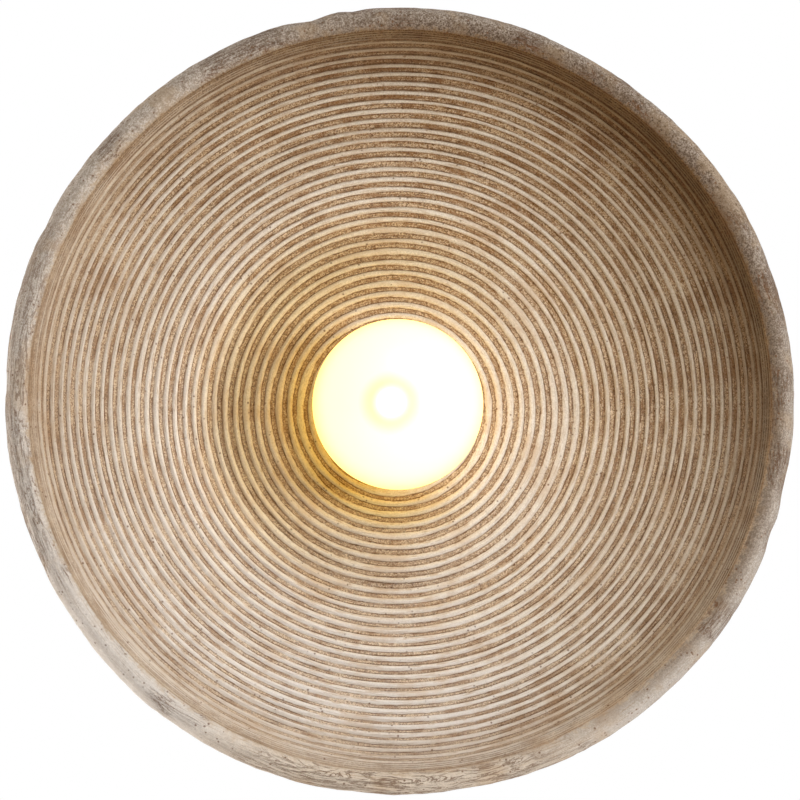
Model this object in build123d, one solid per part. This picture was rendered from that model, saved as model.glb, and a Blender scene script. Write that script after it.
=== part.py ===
from build123d import *
from math import cos, degrees, pi, radians, sin, sqrt, tan
import os

# A wall lantern: a ribbed cast-stone dish with an opal glass globe in its middle.
#
# Frame, in millimetres: +Z is up, the light faces -Y, and the wall is the plane Y = 0.
# The origin is the centre of the cable hole in the wall bracket, on the wall.
# Every piece is first made on its own axis system: x to the right, y up and z away
# from the wall. to_row() then turns it into the frame above. "Depth" is that z.

# ---------------------------------------------------------------- driving dimensions
# Stone dish
DISH_R = 183.0            # widest radius, at the lip
DISH_BACK = 29.0          # depth of its flat back
FLOOR = 47.0              # depth of its flat floor
FLOOR_R = 86.26           # where the floor ends and the wall starts
WALL_R = 198.8            # wall: arc radius, and its slope at both ends
WALL_SLOPE = (22.3, 49.65)
BROW_R = 28.0             # radius of the steeper arc under the lip
LIP_TOP = 117.0           # depth of the lip's highest point
BACK_FLAT_R = 76.0        # radius of the flat back
WELL_R = 31.0             # recess in the floor for the globe holder
WELL_DEPTH = 10.0
DISH_BORE_R = 6.0         # hole for the centre tube

# Ribs on the dish's inside, measured along the surface
RIB_PITCH = 5.18
RIB_FIRST = 34.48         # radius of the innermost rib
RIB_COUNT = 31
RIB_HALF_WIDTH = 1.05
RIB_HEIGHT = 1.0

# Glass globe
GLOBE_R = 40.0
GLOBE_CENTRE = 79.0       # depth of its centre
GLASS = 2.5
NECK_R = 21.0
NECK_END = 41.0           # depth of the neck's open end

# Globe's screwed joint, with plain cylinders in place of its two-start thread
THREAD_R = 25.9           # collar's outside
THREAD_PLAY = 0.2
HOLDER_R = 29.0
HOLDER_TOP = 48.3
HOLDER_SHEET = 1.5
COLLAR_END = 40.0

# Lampholder and bulb, on an axis a little beside the globe's
LAMP_X = -2.0
LAMP_Y = 1.0
LAMPHOLDER_R = 10.0
LAMPHOLDER = (46.5, 62.0)     # depths of its two ends
PIN_SPACING = 9.0
BULB_R = 8.0
BULB_BASE = (62.3, 75.0)
BULB_TOP = 99.0
BULB_WALL = 1.0

# Centre tube (M10) and what it clamps
TUBE_R = 5.0
THREAD_FIT = 0.05         # radial play of a screw or nut drawn without its thread
TUBE_BORE_R = 4.0
TUBE = (18.0, 44.5)
NUT_FLATS = 14.0
NUT_HEIGHT = 3.0
WASHER_R = 15.0
WASHER_HEIGHT = 1.6
PAD_FRONT = 1.0
STRAP = 1.0               # lampholder bracket's sheet

# Back pan, gasket and wall bracket
PAN_R = 65.0
PAN_SHEET = 1.5
PAN_FRONT = 27.0
GASKET = 3.0
BRACKET_SHEET = 2.0
BRACKET_LENGTH = 122.0
BRACKET_WIDTH = 26.0
BRACKET_EAR = 20.0
CABLE_HOLE_R = 11.0
WALL_HOLE_R = 2.6
WALL_HOLE_SPACING = 60.0
SIDE_SCREW_DEPTH = 13.0

# Terminal block and leads
BLOCK = (30.0, 15.0, 13.0)    # across, up, deep
BLOCK_Y = -38.0               # height of its middle
POLE_SPACING = 9.0
LEAD_R = 0.9
EARTH_POST = (-26.0, 18.0)    # where the earth lead ends on the pan


# ---------------------------------------------------------------- helpers
def to_row(shape):
    """Turn each solid of a piece from (x, up, depth) into the row's frame, where depth is -Y."""
    solids = [Rot(90, 0, 0) * solid for solid in shape.solids()]
    return solids[0] if len(solids) == 1 else Compound(solids)


def turned(*corners):
    """A solid turned about the depth axis from corners (radius, depth)."""
    points = [(radius, 0, depth) for radius, depth in corners]
    return revolve(Face(Wire.make_polygon(points, close=True)), Axis.Z, 360)


def ring(inner, outer, low, high):
    """A plain ring, or a disc where inner is 0."""
    return turned((inner, low), (outer, low), (outer, high), (inner, high))


def rod(radius, start, end):
    """A round bar between two points."""
    run = Vector(*end) - Vector(*start)
    upright = (Align.CENTER, Align.CENTER, Align.MIN)
    return Plane(start, z_dir=run) * Cylinder(radius, run.length, align=upright)


def block(size, low_centre):
    """A box whose lowest face is centred on a point."""
    return Pos(*low_centre) * Box(*size, align=(Align.CENTER, Align.CENTER, Align.MIN))


def hex_nut(low, bore_r):
    """A chamfered hexagon nut on the axis, standing on a depth."""
    corner_r = NUT_FLATS / sqrt(3)
    prism = extrude(Pos(0, 0, low) * RegularPolygon(corner_r, 6), NUT_HEIGHT)
    chamfer_high = (corner_r - NUT_FLATS / 2) * 0.6
    crown = turned(
        (0, low),
        (NUT_FLATS / 2, low),
        (corner_r, low + chamfer_high),
        (corner_r, low + NUT_HEIGHT - chamfer_high),
        (NUT_FLATS / 2, low + NUT_HEIGHT),
        (0, low + NUT_HEIGHT),
    )
    return (prism & crown) - ring(0, bore_r, low - 1, low + NUT_HEIGHT + 1)


def group(pieces):
    """Separate solids kept together in one node."""
    return Compound([solid for piece in pieces for solid in piece.solids()])


def with_mirror(shape):
    """A piece on the right and its mirror image on the left, as one group."""
    return group([shape, mirror(shape, Plane.YZ)])


def screw(shank_r, shank, head_r, head, slot=0.8):
    """A slotted cheese-head screw, head up, its head's underside at the origin."""
    body = ring(0, shank_r, -shank, 0.2)
    cap = ring(0, head_r, 0, head)
    cap = chamfer(cap.edges().sort_by(Axis.Z)[-1], head * 0.25)
    groove = block((2 * head_r + 1, slot, head), (0, 0, head * 0.55))
    return body + cap - groove


def arc_step(point, radius, slopes):
    """End point of an arc that leaves point at the first slope and ends at the second."""
    start, end = radians(slopes[0]), radians(slopes[1])
    r = point[0] + radius * (sin(end) - sin(start))
    z = point[1] + radius * (cos(start) - cos(end))
    return (r, z)


def bowl_point(along, lift=0.0):
    """A point of the dish's inside: distance along it from the axis, raised by lift."""
    wall_length = WALL_R * radians(WALL_SLOPE[1] - WALL_SLOPE[0])
    if along <= FLOOR_R:
        slope = 0.0
        base = (along, FLOOR)
    elif along <= FLOOR_R + wall_length:
        slope = WALL_SLOPE[0] + degrees((along - FLOOR_R) / WALL_R)
        base = arc_step((FLOOR_R, FLOOR), WALL_R, (WALL_SLOPE[0], slope))
    else:
        brow_start = arc_step((FLOOR_R, FLOOR), WALL_R, WALL_SLOPE)
        slope = WALL_SLOPE[1] + degrees((along - FLOOR_R - wall_length) / BROW_R)
        base = arc_step(brow_start, BROW_R, (WALL_SLOPE[1], slope))
    tilt = radians(slope)
    return (base[0] - lift * sin(tilt), base[1] + lift * cos(tilt))


# ---------------------------------------------------------------- stone dish
def rib_edges(along):
    """One rib's arc in the (radius, depth) plane, and its two ends."""
    start = bowl_point(along - RIB_HALF_WIDTH)
    end = bowl_point(along + RIB_HALF_WIDTH)
    top = bowl_point(along, RIB_HEIGHT)
    arc = Edge.make_three_point_arc(in_plane(start), in_plane(top), in_plane(end))
    return arc, start, end


def in_plane(point):
    """A (radius, depth) pair as a 3-D point beside the depth axis."""
    return (point[0], 0, point[1])


def make_stone_dish():
    """The ribbed bowl, its rounded lip, its curved back and the recess in its floor."""
    edges = []
    last = (WELL_R, FLOOR)
    for rib in range(RIB_COUNT):
        arc, start, end = rib_edges(RIB_FIRST + rib * RIB_PITCH)
        edges.append(Edge.make_line(in_plane(last), in_plane(start)))
        edges.append(arc)
        last = end
    lip_inner = (171.5, LIP_TOP - 1.4)
    lip_outer = (DISH_R - 1.4, LIP_TOP - 4.0)
    lip_under = (DISH_R - 0.8, LIP_TOP - 11.5)
    back_edge = (BACK_FLAT_R, DISH_BACK)
    well_floor = FLOOR - WELL_DEPTH
    edges.append(Edge.make_line(in_plane(last), in_plane(lip_inner)))
    for start, middle, end in (
        (lip_inner, (177.0, LIP_TOP), lip_outer),
        (lip_outer, (DISH_R, LIP_TOP - 8.0), lip_under),
        (lip_under, (136.0, 59.0), back_edge),
    ):
        arc = Edge.make_three_point_arc(in_plane(start), in_plane(middle), in_plane(end))
        edges.append(arc)
    corners = (
        back_edge,
        (DISH_BORE_R, DISH_BACK),
        (DISH_BORE_R, well_floor),
        (WELL_R, well_floor),
        (WELL_R, FLOOR),
    )
    for start, end in zip(corners, corners[1:]):
        edges.append(Edge.make_line(in_plane(start), in_plane(end)))
    return revolve(Face(Wire(edges)), Axis.Z, 360)


# ---------------------------------------------------------------- globe
def make_globe_glass():
    """Blown opal sphere with a short cylindrical neck."""
    inner_r = GLOBE_R - GLASS
    neck_inner = NECK_R - GLASS
    below = GLOBE_CENTRE - GLOBE_R - 1
    outer_root = GLOBE_CENTRE - sqrt(GLOBE_R**2 - NECK_R**2)
    inner_root = GLOBE_CENTRE - sqrt(inner_r**2 - neck_inner**2)
    ball = Pos(0, 0, GLOBE_CENTRE) * Sphere(GLOBE_R) - Pos(0, 0, GLOBE_CENTRE) * Sphere(inner_r)
    ball -= ring(0, NECK_R, below, outer_root)
    ball -= ring(0, neck_inner, below, inner_root + 0.1)
    return ball + ring(neck_inner, NECK_R, NECK_END, outer_root + 0.1)


def make_globe_collar():
    """Ring cemented round the neck: threaded skirt, shoulder for the seal, end lip."""
    shoulder_low = 45.2
    skirt = ring(NECK_R + 0.1, THREAD_R, COLLAR_END + 0.9, shoulder_low)
    shoulder = ring(NECK_R + 0.1, 24.0, shoulder_low, 46.6)
    lip = ring(NECK_R - GLASS + 0.5, THREAD_R, COLLAR_END, COLLAR_END + 0.9)
    seat = Pos(0, 0, GLOBE_CENTRE) * Sphere(GLOBE_R + 0.05)
    collar = skirt + shoulder + lip - seat
    notches = [
        Rot(0, 0, turn) * Pos(THREAD_R, 0, COLLAR_END) * Box(2.4, 3.0, 1.2)
        for turn in range(0, 360, 90)
    ]
    return collar - notches


def make_globe_seal():
    """Silicone ring: a hub round the collar's shoulder and a skirt under the glass."""
    return turned((24.3, 45.5), (25.6, 45.5), (25.6, 47.2), (28.6, 48.9), (28.6, 50.1), (24.3, 46.7))


def make_globe_holder():
    """Spun cup that the collar screws into, with a flared mouth for the seal."""
    low = FLOOR - WELL_DEPTH + PAD_FRONT
    bore_r = THREAD_R + THREAD_PLAY
    cup = turned(
        (TUBE_R + 0.2, low),
        (HOLDER_R - 1.0, low),
        (HOLDER_R, low + 1.0),
        (HOLDER_R, HOLDER_TOP),
        (HOLDER_R - 0.5, HOLDER_TOP),
        (bore_r, HOLDER_TOP - 1.6),
        (bore_r, low + HOLDER_SHEET),
        (TUBE_R + 0.2, low + HOLDER_SHEET),
    )
    vents = [
        Rot(0, 0, turn) * Pos(18.5, 0, low) * Cylinder(1.6, 6)
        for turn in range(45, 360, 90)
    ]
    return cup - vents


# ---------------------------------------------------------------- lampholder
def at_lamp(shape):
    """Move a piece made on the depth axis to the lamp's own axis."""
    return Pos(LAMP_X, LAMP_Y, 0) * shape


def make_lampholder():
    """Ceramic body: wide foot, narrower head, two pin slots and two screw holes."""
    low, high = LAMPHOLDER
    body = turned(
        (0, low),
        (LAMPHOLDER_R - 0.8, low),
        (LAMPHOLDER_R, low + 0.8),
        (LAMPHOLDER_R, low + 8.5),
        (LAMPHOLDER_R - 1.2, low + 9.7),
        (LAMPHOLDER_R - 1.2, high - 0.6),
        (LAMPHOLDER_R - 1.8, high),
        (0, high),
    )
    for side in (-1, 1):
        body -= block((2.4, 4.2, 8.5), (side * PIN_SPACING / 2, 0, high - 8.2))
        hole = (side * (LAMPHOLDER_R + 1), 0, low + 5.0)
        body -= rod(1.5, hole, (side * 6.5, 0, low + 5.0))
    return at_lamp(body)


def make_lampholder_contacts():
    """Two U-shaped spring clips in the holder's slots."""
    low = LAMPHOLDER[1] - 8.1
    clips = []
    for side in (-1, 1):
        clip = block((1.9, 3.4, 7.0), (0, 0, low)) - block((0.9, 4.0, 7.0), (0, 0, low + 0.5))
        clips.append(at_lamp(Pos(side * PIN_SPACING / 2, 0, 0) * clip))
    return group(clips)


def make_lampholder_bracket():
    """Bent strap: a base on the holder's floor and two legs beside the ceramic."""
    low = FLOOR - WELL_DEPTH + PAD_FRONT + HOLDER_SHEET
    leg_inner = LAMPHOLDER_R + 0.2
    span = 2 * (leg_inner + STRAP)
    base = block((span, 11.0, STRAP), (LAMP_X, LAMP_Y, low))
    strap = base - ring(0, TUBE_R + 0.1, low - 1, low + 2)
    for side in (-1, 1):
        leg_x = LAMP_X + side * (leg_inner + STRAP / 2)
        leg = block((STRAP, 11.0, LAMPHOLDER[0] + 9.0 - low), (leg_x, LAMP_Y, low))
        leg_hole = LAMPHOLDER[0] + 5.0
        leg -= rod(1.6, (leg_x - 2, LAMP_Y, leg_hole), (leg_x + 2, LAMP_Y, leg_hole))
        strap += leg
    return strap


def make_lampholder_screws():
    """Two screws through the strap's legs into the ceramic."""
    place = Pos(LAMPHOLDER_R + 0.2 + STRAP, 0, LAMPHOLDER[0] + 5.0) * Rot(0, 90, 0)
    return at_lamp(with_mirror(place * screw(1.45, 4.4, 2.7, 1.5)))


# ---------------------------------------------------------------- bulb
def make_bulb_base():
    """Moulded base with a groove and a stepped top."""
    low, high = BULB_BASE
    return at_lamp(turned(
        (0, low),
        (BULB_R - 1.0, low),
        (BULB_R, low + 1.0),
        (BULB_R, low + 5.0),
        (BULB_R - 0.6, low + 5.6),
        (BULB_R - 0.6, low + 7.0),
        (BULB_R, low + 7.6),
        (BULB_R, high),
        (0, high),
    ))


def make_bulb_pins():
    """Two wire loops that push into the clips."""
    loop_r = 1.0
    wire_r = 0.4
    high = BULB_BASE[0]
    turn = high - 4.6
    pins = []
    for side in (-1, 1):
        x = side * PIN_SPACING / 2
        down = Edge.make_line((x, -loop_r, high), (x, -loop_r, turn))
        bend = Edge.make_three_point_arc((x, -loop_r, turn), (x, 0, turn - loop_r), (x, loop_r, turn))
        up = Edge.make_line((x, loop_r, turn), (x, loop_r, high))
        section = Plane((x, -loop_r, high), z_dir=(0, 0, -1)) * Circle(wire_r)
        pins.append(at_lamp(sweep(section, Wire([down, bend, up]))))
    return group(pins)


def make_bulb_core():
    """Eight-sided column that carries the LEDs, on a round foot."""
    low = BULB_BASE[1]
    column = extrude(Pos(0, 0, low + 1.2) * RegularPolygon(3.6, 8), 13.8)
    foot = ring(0, 6.2, low, low + 1.2)
    return at_lamp(column + foot)


def make_bulb_leds():
    """Three LEDs on each of the column's eight faces, and one on its end."""
    low = BULB_BASE[1]
    face_r = 3.6 * cos(radians(22.5))
    chips = [block((1.8, 1.8, 0.5), (0, 0, low + 15.0))]
    for face in range(8):
        for row in range(3):
            depth = low + 2.6 + row * 4.2
            chip = block((0.5, 1.6, 2.8), (face_r + 0.25, 0, depth))
            chips.append(Rot(0, 0, 22.5 + face * 45) * chip)
    return at_lamp(group(chips))


def make_bulb_dome():
    """Frosted tube with a round end, over the LED column."""
    low = BULB_BASE[1]
    inner_r = BULB_R - BULB_WALL
    centre = BULB_TOP - BULB_R
    outer = ring(0, BULB_R, low, centre) + Pos(0, 0, centre) * Sphere(BULB_R)
    inner = ring(0, inner_r, low - 1, centre) + Pos(0, 0, centre) * Sphere(inner_r)
    return at_lamp(outer - inner)


# ---------------------------------------------------------------- centre tube stack
def make_centre_tube():
    """Threaded tube, drawn as a plain tube with chamfered ends."""
    low, high = TUBE
    return turned(
        (TUBE_BORE_R, low),
        (TUBE_R - 0.5, low),
        (TUBE_R, low + 0.5),
        (TUBE_R, high - 0.5),
        (TUBE_R - 0.5, high),
        (TUBE_BORE_R, high),
    )


def make_front_nut():
    """Nut in the cup, on the lampholder's strap."""
    return hex_nut(FLOOR - WELL_DEPTH + PAD_FRONT + HOLDER_SHEET + STRAP, TUBE_R + THREAD_FIT)


def make_rear_nut():
    """Nut inside the pan."""
    return hex_nut(PAN_FRONT - PAN_SHEET - WASHER_HEIGHT - NUT_HEIGHT, TUBE_R + THREAD_FIT)


def make_rear_washer():
    """Wide washer between that nut and the pan."""
    high = PAN_FRONT - PAN_SHEET
    return ring(TUBE_R + 0.2, WASHER_R, high - WASHER_HEIGHT, high)


def make_front_pad():
    """Rubber disc under the globe holder."""
    low = FLOOR - WELL_DEPTH
    return ring(TUBE_R + 0.3, HOLDER_R - 1.0, low, low + PAD_FRONT)


def make_rear_pad():
    """Rubber disc between the pan and the stone."""
    return ring(TUBE_R + 0.3, 52.0, PAN_FRONT, DISH_BACK)


# ---------------------------------------------------------------- back pan and bracket
def make_back_pan():
    """Deep-drawn round pan, open to the wall."""
    inner_r = PAN_R - PAN_SHEET
    corner = 4.0
    shell = ring(0, PAN_R, GASKET, PAN_FRONT)
    shell = fillet(shell.edges().sort_by(Axis.Z)[-1], corner)
    hollow = ring(0, inner_r, GASKET - 1, PAN_FRONT - PAN_SHEET)
    hollow = fillet(hollow.edges().sort_by(Axis.Z)[-1], corner - PAN_SHEET)
    pan = shell - hollow - ring(0, TUBE_R + 0.2, 0, PAN_FRONT + 1)
    for side in (-1, 1):
        start = (side * (inner_r - 3), 0, SIDE_SCREW_DEPTH)
        pan -= rod(2.2, start, (side * (PAN_R + 3), 0, SIDE_SCREW_DEPTH))
    pan -= Pos(0, BLOCK_Y, PAN_FRONT) * Cylinder(1.5, 6)
    pan -= Pos(*EARTH_POST, PAN_FRONT) * Cylinder(2.0, 6)
    return pan


def make_pan_gasket():
    """Foam ring that seals the pan to the wall."""
    return ring(PAN_R - 2.3, PAN_R + 1.5, 0, GASKET)


def make_wall_bracket():
    """Strap against the wall, with a turned-up ear at each end for the side screws."""
    ear_x = BRACKET_LENGTH / 2 - BRACKET_SHEET / 2
    strap = block((BRACKET_LENGTH, BRACKET_WIDTH, BRACKET_SHEET), (0, 0, 0))
    strap = fillet(strap.edges().filter_by(Axis.Z), 3.5)
    for side in (-1, 1):
        ear = block((BRACKET_SHEET, 18.0, BRACKET_EAR), (side * ear_x, 0, 0))
        strap += ear
    ear_tops = strap.edges().filter_by(Axis.X).group_by(Axis.Z)[-1]
    strap = fillet(ear_tops, 5.0)
    strap -= ring(0, CABLE_HOLE_R, -1, BRACKET_SHEET + 1)
    for side in (-1, 1):
        strap -= Pos(side * WALL_HOLE_SPACING / 2, 0, 0) * Cylinder(WALL_HOLE_R, 10)
        ear_hole = (side * (ear_x - 4), 0, SIDE_SCREW_DEPTH)
        strap -= rod(2.2, ear_hole, (side * (ear_x + 4), 0, SIDE_SCREW_DEPTH))
    return strap


def make_pan_screws():
    """Two screws from the side through the pan into the ears."""
    place = Pos(PAN_R, 0, SIDE_SCREW_DEPTH) * Rot(0, 90, 0)
    return with_mirror(place * screw(2.0 - THREAD_FIT, 7.0, 3.8, 2.6, slot=1.1))


# ---------------------------------------------------------------- terminal block and leads
def pole_x(pole):
    """Sideways place of a pole: 0 live, 1 earth, 2 neutral."""
    return (pole - 1) * POLE_SPACING


def make_terminal_block():
    """Moulded strip with three poles: wire holes up and down, screw wells behind."""
    across, up, deep = BLOCK
    high = PAN_FRONT - PAN_SHEET
    body = block((across, up, deep), (0, BLOCK_Y, high - deep))
    body = chamfer(body.edges().filter_by(Axis.Z), 1.0)
    for pole in range(3):
        x = pole_x(pole)
        wire_depth = high - deep / 2
        body -= rod(1.5, (x, BLOCK_Y - up, wire_depth), (x, BLOCK_Y + up, wire_depth))
        for end in (-1, 1):
            body -= Pos(x, BLOCK_Y + end * 4.6, high - deep) * Cylinder(1.7, deep - 4)
    for gap in (-1, 1):
        x = gap * POLE_SPACING / 2
        body -= block((1.2, up + 2, 3.0), (x, BLOCK_Y, high - deep - 1))
    return body - Pos(0, BLOCK_Y, high - deep / 2) * Cylinder(1.5, deep + 2)


def make_terminal_screws():
    """Six clamp screws, two in each pole."""
    high = PAN_FRONT - PAN_SHEET
    deep = BLOCK[2]
    screws = []
    for pole in range(3):
        for end in (-1, 1):
            place = Pos(pole_x(pole), BLOCK_Y + end * 4.6, high - deep + 2.4) * Rot(180, 0, 0)
            screws.append(place * screw(1.2, 1.8, 1.6, 1.2, slot=0.5))
    return group(screws)


def make_block_screw():
    """Screw through the block's middle into the pan."""
    low = PAN_FRONT - PAN_SHEET - BLOCK[2]
    return Pos(0, BLOCK_Y, low) * Rot(180, 0, 0) * screw(1.4, BLOCK[2] + PAN_SHEET, 1.9, 1.4)


def lead(points):
    """A lead along straight runs joined by tangent arcs; it prints its length."""
    radii = []
    for before, corner, after in zip(points, points[1:], points[2:]):
        run_in = Vector(*corner) - Vector(*before)
        run_out = Vector(*after) - Vector(*corner)
        turn = radians(run_in.get_angle(run_out))
        shorter = min(run_in.length, run_out.length)
        radii.append(0.45 * shorter / tan(turn / 2))
    path = FilletPolyline(*points, radius=radii)
    tube = sweep(Plane(points[0], z_dir=path % 0) * Circle(LEAD_R), path)
    swept = tube.volume / (pi * LEAD_R**2)
    print(f"lead: {path.length:.1f} mm along its line, {swept:.1f} mm by its volume")
    return tube


def make_lamp_lead(side):
    """Lead from an outer pole, round the tube's end and through it to the lampholder."""
    x = side * POLE_SPACING
    wire_depth = PAN_FRONT - PAN_SHEET - BLOCK[2] / 2
    block_top = BLOCK_Y + BLOCK[1] / 2
    return lead([
        (x, block_top - 3.0, wire_depth),
        (x, block_top + 5.0, wire_depth - 1.0),
        (x * 0.8, block_top + 13.0, 11.0),
        (x * 0.45, -9.0, 6.6),
        (side * 1.6, 0.2, 9.0),
        (side * 1.5, 0.8, 20.0),
        (side * 1.6 + LAMP_X * 0.3, LAMP_Y, 34.0),
        (side * 1.7 + LAMP_X * 0.2, LAMP_Y, LAMPHOLDER[0] - 0.05),
    ])


def make_earth_lead():
    """Lead from the middle pole to the earth lug on the pan."""
    wire_depth = PAN_FRONT - PAN_SHEET - BLOCK[2] / 2
    block_top = BLOCK_Y + BLOCK[1] / 2
    post_x, post_y = EARTH_POST
    lug_depth = PAN_FRONT - PAN_SHEET - 1.5
    return lead([
        (0.0, block_top - 3.0, wire_depth),
        (-1.0, block_top + 6.0, wire_depth - 1.0),
        (-9.0, block_top + 14.0, wire_depth - 1.5),
        (-19.0, -6.0, wire_depth),
        (post_x + 1.0, post_y - 15.0, wire_depth + 3.5),
        (post_x, post_y - 10.0, lug_depth),
        (post_x, post_y - 5.6, lug_depth),
    ])


def make_earth_lug():
    """Crimped ring lug under the earth screw, with a barrel round the lead's end."""
    post_x, post_y = EARTH_POST
    high = PAN_FRONT - PAN_SHEET
    eye = ring(2.1, 4.2, high - 0.8, high)
    barrel = rod(1.5, (0, -3.4, high - 1.5), (0, -5.6, high - 1.5))
    neck = block((2.6, 2.6, 0.8), (0, -3.6, high - 0.8))
    return Pos(post_x, post_y, 0) * (eye + neck - ring(0, 2.1, 0, 40) + barrel)


def make_earth_screw():
    """Screw that clamps the lug to the pan, its tip in the pan's tapped hole."""
    place = Pos(*EARTH_POST, PAN_FRONT - PAN_SHEET - 0.8) * Rot(180, 0, 0)
    return place * screw(1.9, 2.2, 3.4, 2.0)


# ---------------------------------------------------------------- all nodes
NODES = {
    "stone_dish": make_stone_dish(),
    "globe_glass": make_globe_glass(),
    "globe_collar": make_globe_collar(),
    "globe_seal": make_globe_seal(),
    "globe_holder": make_globe_holder(),
    "lampholder": make_lampholder(),
    "lampholder_contacts": make_lampholder_contacts(),
    "lampholder_bracket": make_lampholder_bracket(),
    "lampholder_screws": make_lampholder_screws(),
    "bulb_base": make_bulb_base(),
    "bulb_pins": make_bulb_pins(),
    "bulb_core": make_bulb_core(),
    "bulb_leds": make_bulb_leds(),
    "bulb_dome": make_bulb_dome(),
    "centre_tube": make_centre_tube(),
    "front_nut": make_front_nut(),
    "rear_nut": make_rear_nut(),
    "rear_washer": make_rear_washer(),
    "front_pad": make_front_pad(),
    "rear_pad": make_rear_pad(),
    "back_pan": make_back_pan(),
    "pan_gasket": make_pan_gasket(),
    "pan_screws": make_pan_screws(),
    "wall_bracket": make_wall_bracket(),
    "terminal_block": make_terminal_block(),
    "terminal_screws": make_terminal_screws(),
    "block_screw": make_block_screw(),
    "live_lead": make_lamp_lead(-1),
    "neutral_lead": make_lamp_lead(1),
    "earth_lead": make_earth_lead(),
    "earth_lug": make_earth_lug(),
    "earth_screw": make_earth_screw(),
}

os.makedirs("parts", exist_ok=True)
for name, shape in NODES.items():
    export_step(to_row(shape), f"parts/{name}.step")
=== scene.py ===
import bpy
import math
import numpy as np
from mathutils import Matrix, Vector


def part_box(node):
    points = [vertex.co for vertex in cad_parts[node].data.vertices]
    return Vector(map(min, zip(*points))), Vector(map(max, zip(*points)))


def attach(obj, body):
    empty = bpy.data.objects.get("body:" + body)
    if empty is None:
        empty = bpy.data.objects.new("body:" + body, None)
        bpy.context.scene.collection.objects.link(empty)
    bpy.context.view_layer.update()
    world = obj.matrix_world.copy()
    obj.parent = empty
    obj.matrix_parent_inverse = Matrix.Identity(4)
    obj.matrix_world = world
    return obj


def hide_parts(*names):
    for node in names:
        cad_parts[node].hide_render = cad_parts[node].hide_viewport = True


# The wall lantern's looks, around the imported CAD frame. Lengths are metres in the row's
# frame: +Z up, the wall is the plane Y = 0 and the light faces -Y. "Depth" is the distance
# from the wall, so it is -Y. Profiles are written in millimetres and scaled by MM.

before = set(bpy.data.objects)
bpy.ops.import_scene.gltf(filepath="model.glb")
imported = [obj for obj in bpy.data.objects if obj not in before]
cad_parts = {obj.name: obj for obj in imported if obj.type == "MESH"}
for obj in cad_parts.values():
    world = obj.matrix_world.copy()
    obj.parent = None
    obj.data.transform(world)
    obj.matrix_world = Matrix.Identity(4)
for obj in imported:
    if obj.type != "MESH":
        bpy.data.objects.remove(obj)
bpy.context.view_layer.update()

MM = 0.001
TURN = 2 * math.pi
rng = np.random.default_rng(31)


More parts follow.
